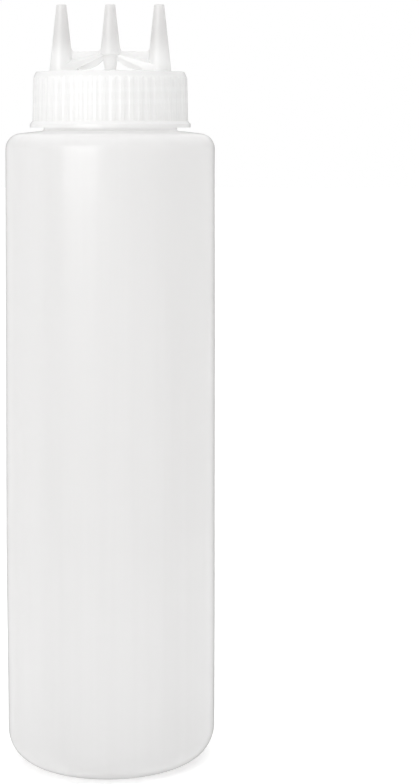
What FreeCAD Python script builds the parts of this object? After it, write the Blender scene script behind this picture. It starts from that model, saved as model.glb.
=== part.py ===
"""Squeeze bottle for sauces, with a screw cap that carries three nozzles in a row.

Two mouldings: the bottle, blown in one piece, and the cap, moulded in one piece with its
nozzles, the web that ties them together and the arms that brace the outer two.
Millimetres, +Z up. The origin is the middle of the foot that the bottle stands on, the
bottle's axis is Z, and the row of nozzles lies along X.
"""

import FreeCAD, Part

import math
import os
import re

import Sketcher

SHEET = "Sizes"

SIZES = {
    # bottle
    "body_diameter": 76.2,
    "shoulder_height": 228.3,   # foot to the root of the neck
    "body_wall": 1.0,
    "base_wall": 1.3,
    "heel_radius": 11.0,
    "heel_inset": 0.2,          # how far the wall draws in by the time it meets the heel
    "inset_height": 75.0,       # where the wall starts to draw in
    "push_up": 2.6,             # how far the middle of the base is raised
    "foot_ring_width": 2.9,     # flat ring that the bottle stands on, inside the heel
    "shoulder_radius": 5.8,
    "shoulder_slope": 6.0,      # degrees
    # neck
    "neck_height": 19.6,
    "thread_root_diameter": 49.8,
    "neck_wall": 1.6,
    "waist_height": 3.2,        # plain waist under the threaded part
    "waist_depth": 0.6,         # how much less its radius is than the thread root's
    "waist_slope": 0.7,         # height over which the neck widens again
    # cap, skirt and deck
    "cap_gap": 1.2,             # shoulder to the lower edge of the skirt
    "thread_depth": 1.1,
    "thread_clearance": 0.2,
    "skirt_wall": 1.8,
    "skirt_draft": 0.3,         # growth in radius from the bevel to the flange
    "flange_reach": 0.9,
    "flange_height": 1.3,
    "flange_slope": 1.0,
    "deck_thickness": 1.8,
    "deck_bevel_reach": 1.0,
    "deck_bevel_height": 2.6,
    "deck_edge_radius": 0.6,
    "seal_clearance": 0.12,
    "seal_wall": 1.0,
    "seal_depth": 2.6,
    "grip_count": 54,
    "grip_radius": 2.2,
    "grip_depth": 0.3,
    "mound_radius": 7.0,
    "mound_height": 0.9,
    # nozzles
    "passage_margin": 0.9,      # outer nozzles' passages to the seal ring round them
    "nozzle_height": 24.5,      # deck to tip
    "tip_diameter": 3.6,
    "tip_bore": 1.7,
    "tip_round": 0.35,
    "nozzle_flare": 0.107,      # growth in radius for each millimetre down
    "nozzle_wall": 0.95,
    "post_bore": 2.2,
    # web, hub and arms, with heights above the deck
    "web_height": 7.5,
    "web_thickness": 1.7,
    "web_fillet": 1.0,          # where the web's top edge meets a nozzle
    "hub_height": 6.4,          # lower end of the middle nozzle's cone
    "post_height": 5.8,
    "post_diameter": 5.6,
    "post_foot_diameter": 3.8,
    "arch_height": 5.3,         # at the post
    "arch_radius": 9.8,
    "arch_foot_length": 5.6,    # from the arch's outer end to the outer nozzle's axis
    "arch_foot_height": 1.1,
    "arm_hub_underside": 6.9,   # at the axis, inside the middle nozzle
    "arm_hub_edge": 7.1,
    "arm_hub_ridge": 7.7,
    "arm_hub_width": 1.9,
    "arm_foot_length": 6.0,     # from the inner side of an arm's foot to the nozzle's axis
    "arm_knee_underside": 1.3,
    "arm_knee_edge": 3.8,
    "arm_knee_ridge": 5.2,
    "arm_knee_width": 6.4,
    "arm_end_edge": 2.1,
    "arm_end_ridge": 3.9,
    "arm_end_margin": 0.1,      # how deep an arm's end lies inside the nozzle's sides
    "sink": 0.5,                # overlap of what stands on the deck with the deck
}


def make_sheet(doc):
    """The spreadsheet of driving dimensions, one row each, with an alias on the value."""
    sheet = doc.addObject("Spreadsheet::Sheet", SHEET)
    for row, (name, value) in enumerate(SIZES.items(), start=1):
        sheet.set(f"A{row}", name)
        sheet.set(f"B{row}", str(value))
        sheet.setAlias(f"B{row}", name)
    doc.recompute()
    return sheet


def expand(words):
    """Puts the sheet's name in front of each size named in an expression."""
    def full(match):
        word = match.group(0)
        return f"{SHEET}.{word}" if word in SIZES else word
    return re.sub(r"[a-z_]+", full, words)


# Heights and radii that follow from the driving dimensions.
BODY_R = "body_diameter / 2"
HEEL_R = "body_diameter / 2 - heel_inset"
FOOT_R = "( body_diameter / 2 - heel_inset - heel_radius - foot_ring_width )"
THREAD_R = "thread_root_diameter / 2"
NECK_R = "( thread_root_diameter / 2 - waist_depth )"
BORE_R = "thread_root_diameter / 2 - neck_wall"
RIM_Z = "( shoulder_height + neck_height )"
DECK_Z = "( shoulder_height + neck_height + deck_thickness )"
SKIRT_Z = "( shoulder_height + cap_gap )"
CAP_BORE_R = "( thread_root_diameter / 2 + thread_depth + thread_clearance )"
SKIRT_R = "( thread_root_diameter / 2 + thread_depth + thread_clearance + skirt_wall )"
SEAL_R = "( thread_root_diameter / 2 - neck_wall - seal_clearance )"
TIP_Z = f"( {DECK_Z} + nozzle_height )"
PASSAGE_R = "( tip_diameter / 2 + nozzle_flare * nozzle_height - nozzle_wall )"
SPACING = f"( {SEAL_R} - seal_wall - passage_margin - {PASSAGE_R} )"
KNEE_X = f"( {SPACING} - arm_foot_length )"
HUB_REACH = "0.001"  # the arms' inner ends lie all but on the axis
# Height of the centre of the shoulder's rounded corner.
CORNER_Z = (
    f"( shoulder_height - ( {BODY_R} - {NECK_R} ) * tan( shoulder_slope )"
    " - shoulder_radius * tan( ( 90 - shoulder_slope ) / 2 ) )"
)


def value_of(sheet, words):
    """The number that an expression in named sizes gives."""
    return float(sheet.evalExpression(expand(words)))


def origin_plane(body, role):
    return next(o for o in body.Origin.OriginFeatures if o.Role == role)


def sketch_outline(doc, body, name, role, corners, arcs=None, offset=None):
    """A closed outline of named sizes: one corner for each (x, y) pair of expressions.

    arcs gives, for the side that starts at a corner's number, an expression for the radius
    of its arc, and 1 if it bulges to the right of the way the outline runs, or -1 to the left.
    offset moves the sketch from its plane, by an expression along its own x or z.
    """
    sheet = doc.getObject(SHEET)
    arcs = arcs or {}
    sketch = body.newObject("Sketcher::SketchObject", name)
    sketch.AttachmentSupport = (origin_plane(body, role), [""])
    sketch.MapMode = "FlatFace"
    for axis, distance in (offset or {}).items():
        sketch.setExpression(f"AttachmentOffset.Base.{axis}", expand(distance))
    spots = [FreeCAD.Vector(value_of(sheet, x), value_of(sheet, y), 0) for x, y in corners]
    count = len(spots)
    for i, spot in enumerate(spots):
        after = spots[(i + 1) % count]
        if i in arcs:
            radius, way = value_of(sheet, arcs[i][0]), arcs[i][1]
            side = (after - spot).cross(FreeCAD.Vector(0, 0, way)).normalize()
            middle = (spot + after) * 0.5
            half = (after - spot).Length / 2
            bulge = radius - math.sqrt(radius * radius - half * half)
            sketch.addGeometry(Part.Arc(spot, middle + side * bulge, after), False)
        else:
            sketch.addGeometry(Part.LineSegment(spot, after), False)
    ends = [arc_ends(sketch, i, spots[i]) for i in range(count)]
    for i in range(count):
        after = (i + 1) % count
        sketch.addConstraint(Sketcher.Constraint("Coincident", i, ends[i][1], after, ends[after][0]))
    for i, (x, y) in enumerate(corners):
        place_corner(sketch, i, ends[i][0], "x", x, spots[i].x)
        place_corner(sketch, i, ends[i][0], "y", y, spots[i].y)
    for i, (radius, _) in arcs.items():
        number = sketch.addConstraint(Sketcher.Constraint("Radius", i, value_of(sheet, radius)))
        sketch.renameConstraint(number, f"arc_{i}")
        sketch.setExpression(f"Constraints.arc_{i}", expand(radius))
    doc.recompute()
    return sketch


def arc_ends(sketch, number, start):
    """Which ends of a piece of an outline are its start and its finish: 1 and 2, or 2 and 1."""
    if (sketch.getPoint(number, 1) - start).Length < 1e-6:
        return 1, 2
    return 2, 1


def place_corner(sketch, piece, end, axis, words, value):
    """Ties one coordinate of a corner to its expression, or to the sketch's axis if it is 0."""
    if words == "0":
        line = -2 if axis == "x" else -1
        sketch.addConstraint(Sketcher.Constraint("PointOnObject", piece, end, line))
        return
    kind = "DistanceX" if axis == "x" else "DistanceY"
    number = sketch.addConstraint(Sketcher.Constraint(kind, -1, 1, piece, end, value))
    name = f"{axis}_{piece}"
    sketch.renameConstraint(number, name)
    sketch.setExpression(f"Constraints.{name}", expand(words))


def turn(doc, body, name, sketch, kind="PartDesign::Revolution"):
    """Revolves a half section in the XZ plane about the body's axis."""
    feature = body.newObject(kind, name)
    feature.Profile = sketch
    feature.ReferenceAxis = (sketch, ["V_Axis"])
    feature.Angle = 360
    sketch.Visibility = False
    doc.recompute()
    return feature


def ring_names(shape, sheet, rings):
    """Names of the round edges about the axis at each (radius, height) of named sizes."""
    names = []
    for radius, height in rings:
        want_r, want_z = value_of(sheet, radius), value_of(sheet, height)
        for number, edge in enumerate(shape.Edges, start=1):
            if edge.Degenerated or not isinstance(edge.Curve, Part.Circle):
                continue
            curve = edge.Curve
            off = math.hypot(curve.Center.x, curve.Center.y) + abs(curve.Center.z - want_z)
            if off < 1e-4 and abs(curve.Radius - want_r) < 1e-4:
                names.append(f"Edge{number}")
    return names


def round_rings(doc, body, name, radius, rings):
    """Rounds the edges about the axis that the rings name."""
    base = body.Tip
    feature = body.newObject("PartDesign::Fillet", name)
    feature.Base = (base, ring_names(base.Shape, doc.getObject(SHEET), rings))
    feature.setExpression("Radius", expand(radius))
    doc.recompute()
    return feature


def make_bottle(doc):
    """The blown bottle: a thin shell with a domed base, rounded heel and shoulder, and neck."""
    body = doc.addObject("PartDesign::Body", "Bottle")
    body.Label = "bottle"
    inner_r = f"{BODY_R} - body_wall"
    neck_bore_r = f"{NECK_R} - neck_wall"
    waist_z = "shoulder_height + waist_height"
    corner_r = f"{BODY_R} - shoulder_radius"
    inner_corner = "( shoulder_radius - body_wall )"
    inside_neck_z = "shoulder_height + neck_wall * tan( shoulder_slope )"
    outline = [
        ("0", "push_up"),
        (FOOT_R, "0"),
        (f"{HEEL_R} - heel_radius", "0"),
        (HEEL_R, "heel_radius"),
        (BODY_R, "inset_height"),
        (BODY_R, CORNER_Z),
        (f"{corner_r} + shoulder_radius * sin( shoulder_slope )",
         f"{CORNER_Z} + shoulder_radius * cos( shoulder_slope )"),
        (NECK_R, "shoulder_height"),
        (NECK_R, waist_z),
        (THREAD_R, f"{waist_z} + waist_slope"),
        (THREAD_R, RIM_Z),
        (BORE_R, RIM_Z),
        (BORE_R, f"{waist_z} + waist_slope"),
        (neck_bore_r, waist_z),
        (neck_bore_r, f"{inside_neck_z} - body_wall / cos( shoulder_slope )"),
        (f"{corner_r} + {inner_corner} * sin( shoulder_slope )",
         f"{CORNER_Z} + {inner_corner} * cos( shoulder_slope )"),
        (inner_r, CORNER_Z),
        (inner_r, "inset_height"),
        (f"{HEEL_R} - body_wall", "base_wall + heel_radius - body_wall"),
        (f"{HEEL_R} - heel_radius", "base_wall"),
        (FOOT_R, "base_wall"),
        ("0", "push_up + base_wall"),
    ]
    dome = f"{FOOT_R} ^ 2 / ( 2 * push_up ) + push_up / 2"
    inset = "( inset_height - heel_radius ) ^ 2 / ( 2 * heel_inset ) + heel_inset / 2"
    inner_inset = f"( inset_height - base_wall - heel_radius + body_wall ) ^ 2 / ( 2 * heel_inset )"
    arcs = {
        0: (dome, -1),
        2: ("heel_radius", 1),
        3: (inset, 1),
        5: ("shoulder_radius", 1),
        15: ("shoulder_radius - body_wall", -1),
        17: (f"{inner_inset} + heel_inset / 2", -1),
        18: ("heel_radius - body_wall", -1),
        20: (dome, 1),
    }
    turn(doc, body, "Shell", sketch_outline(doc, body, "WallOutline", "XZ_Plane", outline, arcs))
    return body


def make_cap_shell(doc, body):
    """The skirt with its flange, the deck with its low mound, and the seal ring inside."""
    deck_under = RIM_Z
    bevel_r = f"{SKIRT_R} - deck_bevel_reach"
    flange_r = f"{SKIRT_R} + skirt_draft + flange_reach"
    outline = [
        ("0", deck_under),
        (f"{SEAL_R} - seal_wall", deck_under),
        (f"{SEAL_R} - seal_wall", f"{deck_under} - seal_depth"),
        (SEAL_R, f"{deck_under} - seal_depth"),
        (SEAL_R, deck_under),
        (CAP_BORE_R, deck_under),
        (CAP_BORE_R, SKIRT_Z),
        (flange_r, SKIRT_Z),
        (flange_r, f"{SKIRT_Z} + flange_height"),
        (f"{SKIRT_R} + skirt_draft", f"{SKIRT_Z} + flange_height + flange_slope"),
        (SKIRT_R, f"{DECK_Z} - deck_bevel_height"),
        (bevel_r, DECK_Z),
        ("mound_radius", DECK_Z),
        ("0", f"{DECK_Z} + mound_height"),
    ]
    arcs = {12: ("mound_radius ^ 2 / ( 2 * mound_height ) + mound_height / 2", 1)}
    section = sketch_outline(doc, body, "ShellOutline", "XZ_Plane", outline, arcs)
    turn(doc, body, "Shell", section)
    edges = [(SKIRT_R, f"{DECK_Z} - deck_bevel_height"), (bevel_r, DECK_Z)]
    round_rings(doc, body, "DeckEdge", "deck_edge_radius", edges)


def make_grip(doc, body):
    """Shallow upright flutes all round the skirt, from the flange out through the bevel."""
    flute = body.newObject("PartDesign::SubtractiveCylinder", "Flute")
    flute.AttachmentSupport = (origin_plane(body, "XY_Plane"), [""])
    flute.MapMode = "FlatFace"
    foot = f"( {SKIRT_Z} + flange_height + flange_slope )"
    skirt_height = f"( {DECK_Z} - deck_bevel_height - {foot} )"
    reach = f"{SKIRT_R} + skirt_draft + grip_radius - grip_depth"
    lean = FreeCAD.Rotation(FreeCAD.Vector(0, -1, 0), 1)
    flute.AttachmentOffset = FreeCAD.Placement(FreeCAD.Vector(), lean)
    flute.setExpression("AttachmentOffset.Base.x", expand(reach))
    flute.setExpression("AttachmentOffset.Base.z", expand(foot))
    flute.setExpression("AttachmentOffset.Rotation.Angle", expand(f"atan( skirt_draft / {skirt_height} )"))
    flute.setExpression("Radius", expand("grip_radius"))
    flute.setExpression("Height", expand(f"{DECK_Z} - {foot}"))
    doc.recompute()
    ring = body.newObject("PartDesign::PolarPattern", "Grip")
    ring.Originals = [flute]
    ring.Axis = (origin_plane(body, "Z_Axis"), [""])
    ring.Angle = 360
    ring.setExpression("Occurrences", expand("grip_count"))
    body.Tip = ring
    doc.recompute()


def mirror(doc, body, name, feature):
    """Repeats a feature of one side on the other side of the cap."""
    copy = body.newObject("PartDesign::Mirrored", name)
    copy.Originals = [feature]
    copy.MirrorPlane = (origin_plane(body, "YZ_Plane"), [""])
    body.Tip = copy
    doc.recompute()
    return copy


def cone(doc, body, name, kind, place, foot_r, top_r, height):
    """A cone along Z on the body's XY plane, at the (x, z) of its lower end."""
    feature = body.newObject(kind, name)
    feature.AttachmentSupport = (origin_plane(body, "XY_Plane"), [""])
    feature.MapMode = "FlatFace"
    feature.setExpression("AttachmentOffset.Base.x", expand(place[0]))
    feature.setExpression("AttachmentOffset.Base.z", expand(place[1]))
    feature.setExpression("Radius1", expand(foot_r))
    feature.setExpression("Radius2", expand(top_r))
    feature.setExpression("Height", expand(height))
    doc.recompute()
    return feature


def nozzle_corners(foot):
    """Half section of a nozzle from the corners of its foot up to its rounded tip, and the arc."""
    tip_r = "tip_diameter / 2"
    corners = foot + [
        (f"{tip_r} + nozzle_flare * tip_round", f"{TIP_Z} - tip_round"),
        (f"{tip_r} - tip_round", TIP_Z),
        ("0", TIP_Z),
    ]
    return corners, {len(foot): ("tip_round", 1)}


def make_outer_nozzles(doc, body):
    """The left and right nozzles, plain cones that stand on the deck."""
    foot_z = f"{DECK_Z} - sink"
    foot_r = "tip_diameter / 2 + nozzle_flare * ( nozzle_height + sink )"
    corners, arcs = nozzle_corners([("0", foot_z), (foot_r, foot_z)])
    offset = {"x": f"- {SPACING}"}
    section = sketch_outline(doc, body, "SideOutline", "XZ_Plane", corners, arcs, offset)
    side = turn(doc, body, "SideNozzle", section)
    mirror(doc, body, "OtherNozzle", side)


def make_middle_nozzle(doc, body):
    """The middle nozzle with its hub, carried on a post that narrows towards the deck."""
    foot_z = f"{DECK_Z} - sink"
    hub_r = "tip_diameter / 2 + nozzle_flare * ( nozzle_height - hub_height )"
    corners, arcs = nozzle_corners([
        ("0", foot_z),
        ("post_foot_diameter / 2", foot_z),
        ("post_diameter / 2", f"{DECK_Z} + post_height"),
        (hub_r, f"{DECK_Z} + hub_height"),
    ])
    section = sketch_outline(doc, body, "MiddleOutline", "XZ_Plane", corners, arcs)
    turn(doc, body, "MiddleNozzle", section)


def pad_both_ways(doc, body, name, sketch, length):
    """Extrudes an outline equally to both sides of its plane."""
    feature = body.newObject("PartDesign::Pad", name)
    feature.Profile = sketch
    if "SideType" in feature.PropertiesList:
        feature.SideType = "Symmetric"
    else:
        feature.Midplane = True
    feature.setExpression("Length", expand(length))
    sketch.Visibility = False
    doc.recompute()
    return feature


def make_web(doc, body):
    """The upright web between the nozzles, open above the deck on each side of the post."""
    top = f"{DECK_Z} + web_height"
    arch_top = f"{DECK_Z} + arch_height"
    arch_foot = f"( {SPACING} - arch_foot_length )"
    cone_r = "( tip_diameter / 2 + nozzle_flare * ( nozzle_height - web_height ) )"
    outline = [
        ("0", f"{top} + web_fillet"),
        ("0", arch_top),
        ("post_foot_diameter / 2", arch_top),
        (arch_foot, f"{DECK_Z} + arch_foot_height"),
        (arch_foot, f"{DECK_Z} - sink"),
        (SPACING, f"{DECK_Z} - sink"),
        (SPACING, f"{top} + web_fillet"),
        (f"{SPACING} - {cone_r}", f"{top} + web_fillet"),
        (f"{SPACING} - {cone_r} - web_fillet", top),
        (f"{cone_r} + web_fillet", top),
        (cone_r, f"{top} + web_fillet"),
    ]
    arcs = {2: ("arch_radius", 1), 7: ("web_fillet", -1), 9: ("web_fillet", -1)}
    section = sketch_outline(doc, body, "WebOutline", "XZ_Plane", outline, arcs)
    side = pad_both_ways(doc, body, "Web", section, "web_thickness")
    mirror(doc, body, "OtherWeb", side)


def arm_section(doc, body, name, reach, width, heights):
    """A section across an arm: upright sides, and a roof that rises into the web's faces."""
    low, edge, ridge = (f"{DECK_Z} + {height}" for height in heights)
    corners = [
        (f"- ( {width} ) / 2", low),
        (f"( {width} ) / 2", low),
        (f"( {width} ) / 2", edge),
        ("web_thickness / 4", ridge),
        ("- web_thickness / 4", ridge),
        (f"- ( {width} ) / 2", edge),
    ]
    return sketch_outline(doc, body, name, "YZ_Plane", corners, offset={"z": reach})


def loft(doc, body, name, first, last):
    """A straight-sided loft between two sections."""
    feature = body.newObject("PartDesign::AdditiveLoft", name)
    feature.Profile = first
    feature.Sections = [last]
    feature.Ruled = True
    doc.recompute()
    return feature


def make_arms(doc, body):
    """The arms: each runs from the hub, widening, down to a foot that clasps an outer nozzle."""
    end_width = "tip_diameter + 2 * ( nozzle_flare * ( nozzle_height - arm_end_edge ) - arm_end_margin )"
    hub = arm_section(doc, body, "ArmAtHub", HUB_REACH, "arm_hub_width",
                      ("arm_hub_underside", "arm_hub_edge", "arm_hub_ridge"))
    knee = arm_section(doc, body, "ArmAtKnee", KNEE_X, "arm_knee_width",
                       ("arm_knee_underside", "arm_knee_edge", "arm_knee_ridge"))
    span = loft(doc, body, "ArmSpan", hub, knee)
    mirror(doc, body, "OtherArmSpan", span)
    foot = arm_section(doc, body, "FootAtKnee", KNEE_X, "arm_knee_width",
                       ("( - sink )", "arm_knee_edge", "arm_knee_ridge"))
    end = arm_section(doc, body, "FootAtEnd", SPACING, end_width,
                      ("( - sink )", "arm_end_edge", "arm_end_ridge"))
    base = loft(doc, body, "ArmFoot", foot, end)
    mirror(doc, body, "OtherArmFoot", base)


def make_bores(doc, body):
    """The passages: wide cones in the outer nozzles, and a narrow one up the post."""
    under = f"( {RIM_Z} - sink )"
    reach = f"( {TIP_Z} + sink ) - {under}"
    top_r = "tip_bore / 2"
    kind = "PartDesign::SubtractiveCone"
    side = cone(doc, body, "SideBore", kind, (f"- {SPACING}", under), PASSAGE_R, top_r, reach)
    mirror(doc, body, "OtherBore", side)
    cone(doc, body, "MiddleBore", kind, ("0", under), "post_bore / 2", top_r, reach)


def make_cap(doc):
    """The cap in one piece: shell, grip, nozzles, web, arms and bores."""
    body = doc.addObject("PartDesign::Body", "Cap")
    body.Label = "nozzle_cap"
    make_cap_shell(doc, body)
    make_outer_nozzles(doc, body)
    make_middle_nozzle(doc, body)
    make_web(doc, body)
    make_arms(doc, body)
    make_bores(doc, body)
    make_grip(doc, body)
    return body


def check(doc, bodies):
    """Stops on a failed feature, or on a sub-part that isn't one valid solid."""
    for item in doc.Objects:
        if "Invalid" in item.State or "Error" in item.State:
            raise RuntimeError(f"{item.Name} failed: {item.State}")
    for body in bodies:
        shape = body.Shape
        if shape.isNull() or not shape.isValid() or len(shape.Solids) != 1:
            raise RuntimeError(f"{body.Label} isn't one valid solid")


def main():
    doc = FreeCAD.newDocument("SqueezeBottle")
    make_sheet(doc)
    bodies = [make_bottle(doc), make_cap(doc)]
    doc.recompute()
    check(doc, bodies)
    os.makedirs("parts", exist_ok=True)
    for body in bodies:
        body.Shape.exportStep(f"parts/{body.Label}.step")
        box = body.Shape.BoundBox
        print(f"{body.Label}: volume {body.Shape.Volume / 1000:.2f} cm3, height {box.ZMax:.2f}")


main()
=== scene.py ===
"""An empty sauce bottle of milky polyethylene, with its ribbed cap and three nozzles, in a pale studio.

Metres, +Z up. The bottle stands on the origin and the row of nozzles lies along X. The blown
bottle is drawn afresh as one turned surface, with the mould's parting line, the neck's thread
and the slight unevenness of a blown wall. The moulded cap keeps its solid's own shape.
"""

import math

import bpy
import numpy as np
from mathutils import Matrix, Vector


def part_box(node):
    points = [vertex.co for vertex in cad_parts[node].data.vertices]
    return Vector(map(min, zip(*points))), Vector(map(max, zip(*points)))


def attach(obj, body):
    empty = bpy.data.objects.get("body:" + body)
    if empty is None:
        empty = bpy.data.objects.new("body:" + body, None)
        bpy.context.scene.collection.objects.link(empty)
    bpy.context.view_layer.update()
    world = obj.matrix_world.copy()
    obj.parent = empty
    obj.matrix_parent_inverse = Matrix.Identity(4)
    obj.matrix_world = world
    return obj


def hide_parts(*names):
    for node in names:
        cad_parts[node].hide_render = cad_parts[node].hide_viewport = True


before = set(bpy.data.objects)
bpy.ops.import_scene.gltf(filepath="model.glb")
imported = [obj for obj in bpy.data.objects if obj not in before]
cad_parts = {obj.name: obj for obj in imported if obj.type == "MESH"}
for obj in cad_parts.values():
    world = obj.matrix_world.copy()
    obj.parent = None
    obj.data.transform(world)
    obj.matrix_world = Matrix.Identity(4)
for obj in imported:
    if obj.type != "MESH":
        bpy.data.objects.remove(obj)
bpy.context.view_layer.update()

MM = 0.001
TAU = 2.0 * math.pi

# ---------------------------------------------------------------- sizes

BODY_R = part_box("bottle")[1].x
RIM_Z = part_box("bottle")[1].z
CAP_FOOT_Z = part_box("nozzle_cap")[0].z
CAP_DECK_Z = RIM_Z + 1.8 * MM   # the top of the cap, which the nozzles stand on

BODY_WALL = 1.0 * MM
BASE_WALL = 1.3 * MM
HEEL_RADIUS = 11.0 * MM
FOOT_R = 24.0 * MM              # inner edge of the ring that the bottle stands on
PUSH_UP = 2.6 * MM              # rise of the middle of the base
HEEL_INSET = 0.2 * MM           # how far the wall draws in, from INSET_HEIGHT down to the heel
INSET_HEIGHT = 75.0 * MM
SIDE_DRAW = 0.45 * MM           # further draw on the left side, near the foot
SHOULDER_RADIUS = 5.8 * MM
SHOULDER_SLOPE = math.radians(6.0)
SHOULDER_Z = RIM_Z - 19.6 * MM
THREAD_ROOT_R = 24.9 * MM
WAIST_R = 24.3 * MM
WAIST_TOP_Z = SHOULDER_Z + 3.2 * MM
WAIST_SLOPE = 0.7 * MM
NECK_WALL = 1.6 * MM

THREAD_PITCH = 4.2 * MM
THREAD_DEPTH = 1.05 * MM
THREAD_TURNS = 1.6
THREAD_START_Z = WAIST_TOP_Z + 3.4 * MM
THREAD_CREST = 0.45 * MM        # half the width of the crest
THREAD_FLANK = 0.75 * MM        # width of a sloping side
THREAD_RUN_OUT = 0.08           # turns over which each end fades

PARTING_WIDTH = 0.16 * MM
PARTING_HEIGHT = 0.06 * MM

# ---------------------------------------------------------------- the plastic

BODY_MILK = (0.888, 0.884, 0.881)
# the whiter colour of thick plastic; low on the bottle it also serves as painted light that lifts the
# shaded lower wall
THICK_AND_LIFTED_MILK = (0.995, 0.994, 0.993)
CAP_MILK = (0.87, 0.866, 0.862)
CAP_THICK_MILK = (0.995, 0.995, 0.993)

SATIN_ROUGHNESS = 0.3
SCUFF = 0.025                   # how far a scuff shifts the roughness either way
GLOSS_ROUGHNESS = 0.1           # of the skin's thin gloss
PASSED_LIGHT = 0.6              # share of the light that goes through the wall
LINING_CLEAR = 1.0              # how clear the wall's inside face is

CLOUD_SCALE = 34.0
CLOUD_DRAW = 0.22               # how far the clouds are drawn out along Z: 1 is not at all
CLOUD_SHIFT = 0.10              # how far the clouds shift the mask of thickness either way
PEBBLE_GRAIN = 900.0
PEBBLE_HEIGHT = 0.05 * MM
PEBBLE_STRENGTH = 0.15

SHOULDER_THICK = 0.45           # these four lie on the scale of the masks of thickness and painted lift, 0 to 1
# painted light in part: the lower wall is whitened up to FOOT_FADE_Z, more than the thicker heel explains,
# to offset the dimmer light near the floor
FOOT_THICK_AND_LIFT = 0.45
SKIRT_THICK = 0.88
THREAD_SHOW = 0.15
FOOT_FADE_Z = 110.0 * MM
DRAWN_LINE = 0.06               # how far the upright lines shift the bottle's mask either way

# ---------------------------------------------------------------- the camera and the studio

EYE = (0.0578, -0.6982, 0.2316)
EYE_PITCH = 1.4                 # degrees down
EYE_YAW = 1.78                  # degrees to the left
EYE_LENS = 88.2                 # mm
EYE_SHIFT = -0.2849

DOME_SPAN = (0.08, 0.22)        # sines of the heights between which the walls give way to the dome
DOME_LIGHT = 0.68
BACK_AXIS = (0.0, 0.643, 0.766)
BACK_SPAN = (0.45, 0.85)        # cosines of the angles off BACK_AXIS between which the dome brightens
BACK_LIGHT = 1.18
ROOM_LIGHT = 0.56
WALLS = (                       # how bright the walls are each way round: 0 is the front, 90 the right
    (-180.0, 0.0), (-164.0, 0.0), (-155.0, 1.2), (-144.0, 2.1), (-118.0, 1.7), (-82.0, 1.7),
    (-66.0, 0.3), (-54.0, 0.3), (-30.0, 1.0), (-6.0, 0.75), (50.0, 0.8), (70.0, 0.6),
    (85.0, 0.8), (100.0, 1.6), (144.0, 1.9), (156.0, 1.1), (166.0, 0.0), (180.0, 0.0),
)
KEY_POWER = 3.1
TOP_POWER = 0.5

FLOOR_HALF_WIDTH = 6.0
FLOOR_GREY = 0.96
FLOOR_LIFT = 0.2                # light added for the camera alone


def math_node(nodes, links, operation, *values):
    """The output of one sum on sockets or plain numbers."""
    node = nodes.new("ShaderNodeMath")
    node.operation = operation
    for socket, value in zip(node.inputs, values):
        if isinstance(value, bpy.types.NodeSocket):
            links.new(value, socket)
        else:
            socket.default_value = value
    return node.outputs[0]


def ramp(nodes, links, value, low, high, start, end, smooth=True):
    """The value carried from the range low to high onto the range start to end."""
    node = nodes.new("ShaderNodeMapRange")
    node.interpolation_type = "SMOOTHSTEP" if smooth else "LINEAR"
    for label, number in (("From Min", low), ("From Max", high), ("To Min", start), ("To Max", end)):
        node.inputs[label].default_value = number
    links.new(value, node.inputs["Value"])
    return node.outputs["Result"]


def place_camera():
    """The eye, level with the foot of the cap and a little to the bottle's right."""
    lens = bpy.data.cameras.new("eye")
    lens.lens = EYE_LENS
    lens.sensor_width = 36.0
    lens.shift_y = EYE_SHIFT
    lens.clip_start = 0.01
    lens.clip_end = 50.0
    eye = bpy.data.objects.new("eye", lens)
    eye.location = EYE
    eye.rotation_euler = (math.radians(90.0 - EYE_PITCH), 0.0, math.radians(EYE_YAW))
    bpy.context.scene.collection.objects.link(eye)
    bpy.context.scene.camera = eye


def softbox(name, azimuth, elevation, distance, width, height, power, aim_z):
    """A rectangular lamp that faces the bottle's axis at the height aim_z. It stands off in a
    direction given in degrees: azimuth 0 is the front and 90 the right."""
    lamp = bpy.data.lights.new(name, "AREA")
    lamp.shape = "RECTANGLE"
    lamp.size = width
    lamp.size_y = height
    lamp.energy = power
    turn, lift = math.radians(azimuth), math.radians(elevation)
    away = Vector((math.sin(turn) * math.cos(lift), -math.cos(turn) * math.cos(lift), math.sin(lift)))
    obj = bpy.data.objects.new(name, lamp)
    obj.location = Vector((0.0, 0.0, aim_z)) + away * distance
    obj.rotation_euler = (-away).to_track_quat("-Z", "Y").to_euler()
    bpy.context.scene.collection.objects.link(obj)
    return obj


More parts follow.
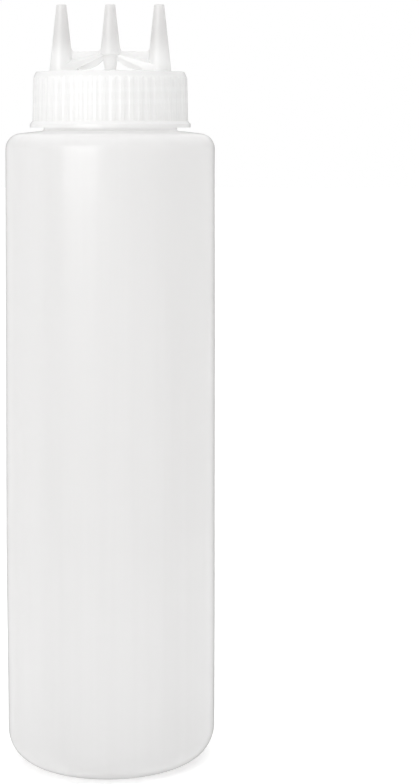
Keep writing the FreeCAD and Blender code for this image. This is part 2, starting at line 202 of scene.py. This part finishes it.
def light_studio():
    """A pale room with two softboxes.

    Its walls change in brightness around the bottle as WALLS says. Above them is an even dome,
    which brightens towards BACK_AXIS, high at the back. The camera, and light that passes
    through the plastic, meet a plain white backdrop instead.
    """
    world = bpy.data.worlds.new("studio")
    bpy.context.scene.world = world
    world.use_nodes = True
    nodes, links = world.node_tree.nodes, world.node_tree.links
    nodes.clear()
    out = nodes.new("ShaderNodeOutputWorld")
    place = nodes.new("ShaderNodeTexCoord")
    split = nodes.new("ShaderNodeSeparateXYZ")
    links.new(place.outputs["Generated"], split.inputs["Vector"])
    front = math_node(nodes, links, "MULTIPLY", split.outputs["Y"], -1.0)
    turn = math_node(nodes, links, "ARCTAN2", split.outputs["X"], front)
    share = math_node(nodes, links, "MULTIPLY_ADD", turn, 1.0 / TAU, 0.5)
    walls = nodes.new("ShaderNodeValToRGB")
    walls.color_ramp.interpolation = "EASE"
    for i, (azimuth, level) in enumerate(WALLS):
        stops = walls.color_ramp.elements
        stop = stops[i] if i < 2 else stops.new(1.0)
        stop.position = azimuth / 360.0 + 0.5
        stop.color = (level, level, level, 1.0)
    links.new(share, walls.inputs["Fac"])
    lean = nodes.new("ShaderNodeVectorMath")
    lean.operation = "DOT_PRODUCT"
    lean.inputs[1].default_value = BACK_AXIS
    links.new(place.outputs["Generated"], lean.inputs[0])
    dome = ramp(nodes, links, lean.outputs["Value"], *BACK_SPAN, DOME_LIGHT, BACK_LIGHT)
    low = math_node(nodes, links, "MULTIPLY", walls.outputs["Color"], ROOM_LIGHT)
    blend = nodes.new("ShaderNodeMix")
    links.new(ramp(nodes, links, split.outputs["Z"], *DOME_SPAN, 0.0, 1.0), blend.inputs["Factor"])
    links.new(low, blend.inputs["A"])
    links.new(dome, blend.inputs["B"])
    room = nodes.new("ShaderNodeBackground")
    links.new(blend.outputs["Result"], room.inputs["Strength"])
    plain = nodes.new("ShaderNodeBackground")
    plain.inputs["Strength"].default_value = 1.0
    for shade in (room, plain):
        shade.inputs["Color"].default_value = (1.0, 1.0, 1.0, 1.0)
    path = nodes.new("ShaderNodeLightPath")
    seen = math_node(nodes, links, "MAXIMUM",
                     path.outputs["Is Camera Ray"], path.outputs["Is Transmission Ray"])
    mix = nodes.new("ShaderNodeMixShader")
    links.new(seen, mix.inputs["Fac"])
    links.new(room.outputs["Background"], mix.inputs[1])
    links.new(plain.outputs["Background"], mix.inputs[2])
    links.new(mix.outputs["Shader"], out.inputs["Surface"])
    softbox("key_softbox", azimuth=-27.0, elevation=13.0, distance=1.0,
            width=0.72, height=0.55, power=KEY_POWER, aim_z=0.2)
    top = softbox("top_softbox", azimuth=10.0, elevation=45.0, distance=0.45,
                  width=0.3, height=0.3, power=TOP_POWER, aim_z=0.25)
    top.visible_glossy = False


def lay_floor():
    """A plain pale floor, which the camera sees a little brighter than it is."""
    mesh = bpy.data.meshes.new("floor")
    w = FLOOR_HALF_WIDTH
    mesh.from_pydata([(-w, -w, 0), (w, -w, 0), (w, w, 0), (-w, w, 0)], [], [(0, 1, 2, 3)])
    floor = bpy.data.objects.new("floor", mesh)
    bpy.context.scene.collection.objects.link(floor)
    mat = bpy.data.materials.new("pale_floor")
    mat.use_nodes = True
    nodes, links = mat.node_tree.nodes, mat.node_tree.links
    shader = nodes["Principled BSDF"]
    shader.inputs["Base Color"].default_value = (FLOOR_GREY, FLOOR_GREY, FLOOR_GREY, 1.0)
    shader.inputs["Roughness"].default_value = 0.9
    shader.inputs["Specular IOR Level"].default_value = 0.0
    path = nodes.new("ShaderNodeLightPath")
    links.new(path.outputs["Is Camera Ray"], shader.inputs["Emission Strength"])
    shader.inputs["Emission Color"].default_value = (FLOOR_LIFT, FLOOR_LIFT, FLOOR_LIFT, 1.0)
    mesh.materials.append(mat)
    floor.visible_glossy = False


# ---------------------------------------------------------------- surfaces

def ease(x):
    """A smooth step: 0 below 0, 1 above 1, and 3x^2 - 2x^3 between."""
    x = np.clip(x, 0.0, 1.0)
    return x * x * (3.0 - 2.0 * x)


def rounded_outline(corners, step):
    """An open outline through corners of (radius, height, rounding), as rows of points.

    Each corner is cut back by rounding * tan(half its turn) on both sides and joined by its
    arc, and the straight runs between the arcs are divided into lengths of about step.
    """
    spots = np.array([(r, z) for r, z, _ in corners])
    pieces = [spots[:1]]
    for i in range(1, len(corners)):
        before, here = pieces[-1][-1], spots[i]
        leave, arc = here, np.empty((0, 2))
        if i + 1 < len(corners) and corners[i][2] > 0.0:
            come = (here - spots[i - 1]) / np.linalg.norm(here - spots[i - 1])
            go = (spots[i + 1] - here) / np.linalg.norm(spots[i + 1] - here)
            turn = math.atan2(come[0] * go[1] - come[1] * go[0], come @ go)
            cut = corners[i][2] * math.tan(abs(turn) / 2.0)
            leave = here - come * cut
            side = math.copysign(1.0, turn)
            middle = leave + corners[i][2] * side * np.array([-come[1], come[0]])
            sweep = np.linspace(0.0, turn, 3 + int(abs(turn) / 0.14))[1:]
            spoke = leave - middle
            arc = middle + np.stack([spoke[0] * np.cos(sweep) - spoke[1] * np.sin(sweep),
                                     spoke[0] * np.sin(sweep) + spoke[1] * np.cos(sweep)], 1)
        count = max(1, int(round(np.linalg.norm(leave - before) / step)))
        share = np.linspace(0.0, 1.0, count + 1)[1:, None]
        pieces += [before + (leave - before) * share, arc]
    return np.concatenate(pieces)


def turned_mesh(name, radius, height, angles):
    """A closed surface of revolution: point (i, j) lies at radius[i] and height[i], turned by
    angles[j]. The first and last rows of the outline lie on the axis and become single points."""
    rows, columns = radius.shape
    x, y = radius * np.cos(angles), radius * np.sin(angles)
    z = np.broadcast_to(height, radius.shape)
    grid = np.stack([x, y, z], -1)[1:-1].reshape(-1, 3)
    ends = np.array([[0.0, 0.0, z[0, 0]], [0.0, 0.0, z[-1, 0]]])
    points = np.concatenate([grid, ends])
    number = np.arange((rows - 2) * columns).reshape(rows - 2, columns)
    beside = np.roll(number, -1, axis=1)
    quads = np.stack([number[:-1], beside[:-1], beside[1:], number[1:]], -1).reshape(-1, 4)
    low, high = len(grid), len(grid) + 1
    first = np.stack([np.full(columns, low), beside[0], number[0]], -1)
    last = np.stack([np.full(columns, high), number[-1], beside[-1]], -1)
    return make_mesh(name, points, [quads, first, last])


def make_mesh(name, points, faces):
    """A smooth-shaded mesh from an array of points and arrays of faces with equal corners each."""
    mesh = bpy.data.meshes.new(name)
    corners = np.concatenate([f.ravel() for f in faces]).astype(np.int32)
    sizes = np.concatenate([np.full(len(f), f.shape[1]) for f in faces])
    starts = np.concatenate([[0], np.cumsum(sizes)[:-1]]).astype(np.int32)
    mesh.vertices.add(len(points))
    mesh.vertices.foreach_set("co", points.astype(np.float32).ravel())
    mesh.loops.add(len(corners))
    mesh.loops.foreach_set("vertex_index", corners)
    mesh.polygons.add(len(sizes))
    mesh.polygons.foreach_set("loop_start", starts)
    mesh.update(calc_edges=True)
    mesh.validate()
    mesh.shade_smooth()
    obj = bpy.data.objects.new(name, mesh)
    bpy.context.scene.collection.objects.link(obj)
    return obj


# ---------------------------------------------------------------- the bottle

def thread_rise(angles, z, start_z, turns):
    """How far a helical ridge stands up at each (height, angle): flat on its crest, sloping on
    both sides, and fading at both ends. The crest's height grows by one pitch in each turn."""
    rise = np.zeros(np.broadcast_shapes(z.shape, angles.shape))
    for lap in range(int(math.ceil(turns))):
        turned = angles / TAU + lap
        off = np.abs(z - (start_z + THREAD_PITCH * turned))
        across = 1.0 - ease((off - THREAD_CREST) / THREAD_FLANK)
        along = ease(turned / THREAD_RUN_OUT) * ease((turns - turned) / THREAD_RUN_OUT)
        rise = np.maximum(rise, across * along)
    return rise


def blown_unevenness(angles, z):
    """How far the blown wall falls inside its true cylinder: a faint oval, slow waves that wind
    up the wall, and a draw on the left side near the foot. Never negative, so it never grows."""
    oval = 0.10 * MM * (0.5 - 0.5 * np.cos(2.0 * (angles - 0.5)))
    waves = 0.05 * MM * (0.5 + 0.5 * np.sin(3.0 * angles + z / 0.031)) \
        + 0.03 * MM * (0.5 + 0.5 * np.sin(5.0 * angles - z / 0.017 + 1.3))
    low = ease((88.0 * MM - z) / (70.0 * MM))
    draw = SIDE_DRAW * low * np.clip(np.cos(angles - math.pi), 0.0, 1.0) ** 1.5
    return oval + waves + draw


def make_bottle():
    """The bottle as one turned surface, outside and inside.

    The outline runs from the middle of the base out along the shallow dome, round the heel,
    up the wall, over the shoulder and neck to the rim, and back down inside. Each point's
    radius is then drawn in by the heel's inset and the wall's unevenness, and raised by the
    thread on the neck and by the fine ridge where the two halves of the mould met.
    """
    dome_r = np.linspace(0.0, FOOT_R, 26)
    dome_z = PUSH_UP * (1.0 - (dome_r / FOOT_R) ** 2)
    rise = math.tan(SHOULDER_SLOPE)
    corner_z = SHOULDER_Z - (BODY_R - WAIST_R) * rise
    inner_r = BODY_R - BODY_WALL
    drop = BODY_WALL / math.cos(SHOULDER_SLOPE)
    throat_r, bore_r = WAIST_R - NECK_WALL, THREAD_ROOT_R - NECK_WALL
    outside = rounded_outline([
        (FOOT_R, 0.0, 0.0),
        (BODY_R, 0.0, HEEL_RADIUS),
        (BODY_R, corner_z, SHOULDER_RADIUS),
        (WAIST_R, SHOULDER_Z, 0.8 * MM),
        (WAIST_R, WAIST_TOP_Z, 0.6 * MM),
        (THREAD_ROOT_R, WAIST_TOP_Z + WAIST_SLOPE, 0.5 * MM),
        (THREAD_ROOT_R, RIM_Z, 0.5 * MM),
        (bore_r, RIM_Z, 0.5 * MM),
        (bore_r, RIM_Z - 1.5 * MM, 0.0),
    ], 2.4 * MM)
    inside = rounded_outline([
        (bore_r, RIM_Z - 1.5 * MM, 0.0),
        (bore_r, WAIST_TOP_Z + WAIST_SLOPE, 0.5 * MM),
        (throat_r, WAIST_TOP_Z, 0.5 * MM),
        (throat_r, SHOULDER_Z + NECK_WALL * rise - drop, 1.2 * MM),
        (inner_r, SHOULDER_Z - (inner_r - WAIST_R) * rise - drop, SHOULDER_RADIUS - BODY_WALL),
        (inner_r, BASE_WALL, HEEL_RADIUS - BODY_WALL),
        (FOOT_R, BASE_WALL, 0.0),
    ], 3.2 * MM)
    neck_low, neck_high = WAIST_TOP_Z + WAIST_SLOPE + 1.0 * MM, RIM_Z - 1.0 * MM
    straight = (outside[:, 0] > THREAD_ROOT_R - 1e-6) & (outside[:, 1] > neck_low - 1.0 * MM)
    first = int(np.argmax(straight))
    threaded = np.stack([np.full(70, THREAD_ROOT_R), np.linspace(neck_low, neck_high, 70)], 1)
    rest = outside[first:]
    rest = rest[rest[:, 1] > neck_high - 0.2 * MM]
    below = outside[:first]
    outside = np.concatenate([below[below[:, 1] < neck_low], threaded,
                              rest[(rest[:, 1] > neck_high) | (rest[:, 0] < THREAD_ROOT_R - 1e-6)]])
    dome = np.stack([dome_r, dome_z], 1)
    ceiling = np.stack([dome_r[::-1], dome_z[::-1] + BASE_WALL], 1)
    outline = np.concatenate([dome, outside[1:], inside[1:], ceiling[1:]])
    last_outside = len(dome) + len(outside) - 1

    around = np.linspace(0.0, TAU, 192, endpoint=False)
    near = np.array([-2.2, -1.4, -0.7, 0.7, 1.4, 2.2]) * PARTING_WIDTH / BODY_R
    angles = np.sort(np.concatenate([around, near % TAU, near + math.pi]))

    r, z = outline[:, :1], outline[:, 1:]
    on_outside = (np.arange(len(outline)) < last_outside)[:, None]
    inset = HEEL_INSET * np.clip((INSET_HEIGHT - z) / (INSET_HEIGHT - HEEL_RADIUS), 0.0, 1.0) ** 2
    share = np.clip(r / BODY_R, 0.0, 1.0) ** 2
    fade = ease((SHOULDER_Z - 1.0 * MM - z) / (16.0 * MM))
    radius = r - share * inset - share * fade * blown_unevenness(angles, z)
    screw = (r > THREAD_ROOT_R - 1e-6) & (z > WAIST_TOP_Z + WAIST_SLOPE) & on_outside
    radius = radius + screw * THREAD_DEPTH * thread_rise(angles, z, THREAD_START_Z, THREAD_TURNS)
    off_line = np.abs(np.sin(angles)) * BODY_R / PARTING_WIDTH
    ridge = PARTING_HEIGHT * np.exp(-off_line ** 2)
    split = on_outside & (r > FOOT_R) & (z < RIM_Z - 1.0 * MM)
    radius = radius + (split & ~screw) * (ridge - PARTING_HEIGHT)
    obj = turned_mesh("blown_bottle", radius, z, angles)
    line_inside(obj, len(outline) - 3, len(angles), last_outside - 1)
    return obj


def line_inside(obj, bands, columns, first_inside):
    """The second material on the wall's inside: the bands of quads from first_inside on, and the
    ring of triangles at the top of the inner dome, which is the last in the mesh."""
    inside = np.zeros(len(obj.data.polygons), np.int32)
    quads = bands * columns
    inside[:quads] = np.arange(quads) // columns >= first_inside
    inside[quads + columns:] = 1
    obj.data.polygons.foreach_set("material_index", inside)


# ---------------------------------------------------------------- finishes

def new_group(name, inputs, outputs):
    """An empty shader node group whose sockets are plain numbers, except any called Vector."""
    group = bpy.data.node_groups.new(name, "ShaderNodeTree")
    for side, sockets in (("INPUT", inputs), ("OUTPUT", outputs)):
        for label, value in sockets:
            kind = "NodeSocketVector" if label == "Vector" else "NodeSocketFloat"
            socket = group.interface.new_socket(label, in_out=side, socket_type=kind)
            if value is not None:
                socket.default_value = value
    nodes = group.nodes
    return group, nodes, group.links, nodes.new("NodeGroupInput"), nodes.new("NodeGroupOutput")


def stretched_noise(nodes, links, vector, stretch, scale, detail):
    """Noise, 0 to 1, on a vector that is scaled along each axis first."""
    place = nodes.new("ShaderNodeVectorMath")
    place.operation = "MULTIPLY"
    place.inputs[1].default_value = stretch
    links.new(vector, place.inputs[0])
    noise = nodes.new("ShaderNodeTexNoise")
    noise.inputs["Detail"].default_value = detail
    noise.inputs["Roughness"].default_value = 0.55
    links.new(place.outputs[0], noise.inputs["Vector"])
    if isinstance(scale, bpy.types.NodeSocket):
        links.new(scale, noise.inputs["Scale"])
    else:
        noise.inputs["Scale"].default_value = scale
    return noise.outputs[0]


def build_milk_clouds():
    """How cloudy the plastic is from place to place: slow clouds, drawn out along Z by Draw."""
    group, nodes, links, given, out = new_group(
        "milk_clouds", [("Vector", None), ("Scale", 40.0), ("Draw", 0.3)], [("Cloud", None)])
    stretch = nodes.new("ShaderNodeCombineXYZ")
    stretch.inputs["X"].default_value = stretch.inputs["Y"].default_value = 1.0
    links.new(given.outputs["Draw"], stretch.inputs["Z"])
    drawn = nodes.new("ShaderNodeVectorMath")
    drawn.operation = "MULTIPLY"
    links.new(given.outputs["Vector"], drawn.inputs[0])
    links.new(stretch.outputs["Vector"], drawn.inputs[1])
    noise = stretched_noise(nodes, links, drawn.outputs[0], (1.0, 1.0, 1.0), given.outputs["Scale"], 3.0)
    links.new(noise, out.inputs["Cloud"])
    return group


def build_mould_skin():
    """The skin that a mould leaves: a fine pebble, with faint scuffs that run up and down.

    Pebble is for a bump's height and Scuff is for roughness; both run from 0 to 1."""
    group, nodes, links, given, out = new_group(
        "mould_skin", [("Vector", None), ("Grain", 900.0)], [("Pebble", None), ("Scuff", None)])
    vector = given.outputs["Vector"]
    pebble = stretched_noise(nodes, links, vector, (1.0, 1.0, 1.0), given.outputs["Grain"], 2.0)
    links.new(pebble, out.inputs["Pebble"])
    scuff = stretched_noise(nodes, links, vector, (1.0, 1.0, 0.12), 300.0, 4.0)
    links.new(scuff, out.inputs["Scuff"])
    return group


def place_group(nodes, links, group, vector, **values):
    """A group put into a material, with its Vector joined and its other inputs set."""
    node = nodes.new("ShaderNodeGroup")
    node.node_tree = group
    links.new(vector, node.inputs["Vector"])
    for label, value in values.items():
        node.inputs[label].default_value = value
    return node


def mix_colours(nodes, links, share, first, second):
    """A colour that goes from first to second as share goes from 0 to 1."""
    node = nodes.new("ShaderNodeMix")
    node.data_type = "RGBA"
    links.new(share, node.inputs["Factor"])
    for socket, colour in ((node.inputs[6], first), (node.inputs[7], second)):
        if isinstance(colour, bpy.types.NodeSocket):
            links.new(colour, socket)
        else:
            socket.default_value = (*colour, 1.0)
    return node.outputs[2]


def milky_plastic(name, thin, thick, thickness, clouds, skin):
    """Milky polyethylene: a satin surface under a thin gloss, of which a share lets light through.

    thickness(nodes, links, place, axes) gives the mask that is 1 where the colour is whiter: where the wall
    is thick and, low on the bottle, where painted light lifts it.
    The clouds shift the mask a little, and the skin gives the bump and the roughness."""
    mat = bpy.data.materials.new(name)
    mat.use_nodes = True
    nodes, links = mat.node_tree.nodes, mat.node_tree.links
    place = nodes.new("ShaderNodeTexCoord").outputs["Object"]
    axes = nodes.new("ShaderNodeSeparateXYZ")
    links.new(place, axes.inputs["Vector"])
    cloud = place_group(nodes, links, clouds, place, Scale=CLOUD_SCALE, Draw=CLOUD_DRAW).outputs["Cloud"]
    mask = thickness(nodes, links, place, axes)
    cloud = ramp(nodes, links, cloud, 0.3, 0.7, -CLOUD_SHIFT, CLOUD_SHIFT, smooth=False)
    mask = math_node(nodes, links, "ADD", mask, cloud)
    colour = mix_colours(nodes, links, mask, thin, thick)
    surface = place_group(nodes, links, skin, place, Grain=PEBBLE_GRAIN)
    bump = nodes.new("ShaderNodeBump")
    bump.inputs["Strength"].default_value = PEBBLE_STRENGTH
    bump.inputs["Distance"].default_value = PEBBLE_HEIGHT
    links.new(surface.outputs["Pebble"], bump.inputs["Height"])
    rough = ramp(nodes, links, surface.outputs["Scuff"], 0.3, 0.7,
                 SATIN_ROUGHNESS - SCUFF, SATIN_ROUGHNESS + SCUFF)
    shader = nodes["Principled BSDF"]
    links.new(colour, shader.inputs["Base Color"])
    links.new(rough, shader.inputs["Roughness"])
    links.new(bump.outputs["Normal"], shader.inputs["Normal"])
    shader.inputs["IOR"].default_value = 1.5
    shader.inputs["Specular IOR Level"].default_value = 1.0
    shader.inputs["Coat Weight"].default_value = 1.0
    shader.inputs["Coat Roughness"].default_value = GLOSS_ROUGHNESS
    through = nodes.new("ShaderNodeBsdfTranslucent")
    links.new(colour, through.inputs["Color"])
    mix = nodes.new("ShaderNodeMixShader")
    mix.inputs["Fac"].default_value = PASSED_LIGHT
    links.new(shader.outputs["BSDF"], mix.inputs[1])
    links.new(through.outputs["BSDF"], mix.inputs[2])
    links.new(mix.outputs["Shader"], nodes["Material Output"].inputs["Surface"])
    return mat


def bottle_thickness_and_lift(nodes, links, place, axes):
    """A blown wall is thick at the neck and shoulder and again at the heel, and the parison's
    drawing leaves faint upright lines in it. The pale band at the foot reaches far up the wall:
    beyond the heel's real thickness it is painted light, which whitens the lower wall to offset
    the dimmer light near the floor."""
    height = axes.outputs["Z"]
    shoulder = ramp(nodes, links, height, SHOULDER_Z - 6.0 * MM, SHOULDER_Z - 1.0 * MM, 0.0, SHOULDER_THICK)
    neck = ramp(nodes, links, height, SHOULDER_Z - 1.0 * MM, SHOULDER_Z + 1.5 * MM, 0.0, 1.0)
    # painted light in part: this ramp whitens the lower wall for the thicker heel and to offset the dimmer
    # light near the floor
    foot = ramp(nodes, links, height, 0.0, FOOT_FADE_Z, FOOT_THICK_AND_LIFT, 0.0)
    thick = math_node(nodes, links, "MAXIMUM", math_node(nodes, links, "MAXIMUM", shoulder, neck), foot)
    lines = stretched_noise(nodes, links, place, (1.0, 1.0, 0.02), 260.0, 3.0)
    lines = ramp(nodes, links, lines, 0.35, 0.65, -DRAWN_LINE, DRAWN_LINE, smooth=False)
    return math_node(nodes, links, "ADD", thick, lines)


def cap_thickness(nodes, links, place, axes):
    """The skirt is thick and the nozzles thin. Along the thread inside the skirt the wall is
    thicker still, so the thread shows as pale bands that climb by one pitch in each turn."""
    height = axes.outputs["Z"]
    skirt = ramp(nodes, links, height, CAP_DECK_Z + 3.0 * MM, CAP_DECK_Z + 14.0 * MM, SKIRT_THICK, 0.0)
    turn = math_node(nodes, links, "ARCTAN2", axes.outputs["Y"], axes.outputs["X"])
    climb = math_node(nodes, links, "MULTIPLY", height, TAU / THREAD_PITCH)
    band = math_node(nodes, links, "COSINE", math_node(nodes, links, "SUBTRACT", climb, turn))
    band = ramp(nodes, links, band, -0.2, 0.9, 0.0, THREAD_SHOW)
    above = ramp(nodes, links, height, CAP_FOOT_Z + 5.0 * MM, CAP_FOOT_Z + 6.5 * MM, 0.0, 1.0)
    below = ramp(nodes, links, height, CAP_FOOT_Z + 17.0 * MM, CAP_FOOT_Z + 18.5 * MM, 1.0, 0.0)
    within = math_node(nodes, links, "MULTIPLY", above, below)
    return math_node(nodes, links, "MULTIPLY_ADD", band, within, skirt)


def clear_lining(name, colour):
    """The wall's inside face. The milky wall scatters light once, at its outside, so this face
    is left clear."""
    mat = bpy.data.materials.new(name)
    mat.use_nodes = True
    nodes, links = mat.node_tree.nodes, mat.node_tree.links
    nodes["Principled BSDF"].inputs["Base Color"].default_value = (*colour, 1.0)
    clear = nodes.new("ShaderNodeBsdfTransparent")
    mix = nodes.new("ShaderNodeMixShader")
    mix.inputs["Fac"].default_value = LINING_CLEAR
    links.new(nodes["Principled BSDF"].outputs["BSDF"], mix.inputs[1])
    links.new(clear.outputs["BSDF"], mix.inputs[2])
    links.new(mix.outputs["Shader"], nodes["Material Output"].inputs["Surface"])
    return mat


# ---------------------------------------------------------------- building

place_camera()
light_studio()
lay_floor()

clouds, skin = build_milk_clouds(), build_mould_skin()

bottle = make_bottle()
bottle.data.materials.append(
    milky_plastic("bottle_plastic", BODY_MILK, THICK_AND_LIFTED_MILK, bottle_thickness_and_lift, clouds, skin))
bottle.data.materials.append(clear_lining("bottle_lining", BODY_MILK))
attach(bottle, "root")
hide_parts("bottle")

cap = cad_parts["nozzle_cap"]
cap.data.materials.clear()
cap.data.materials.append(
    milky_plastic("cap_plastic", CAP_MILK, CAP_THICK_MILK, cap_thickness, clouds, skin))

bpy.context.scene.view_settings.view_transform = "Standard"
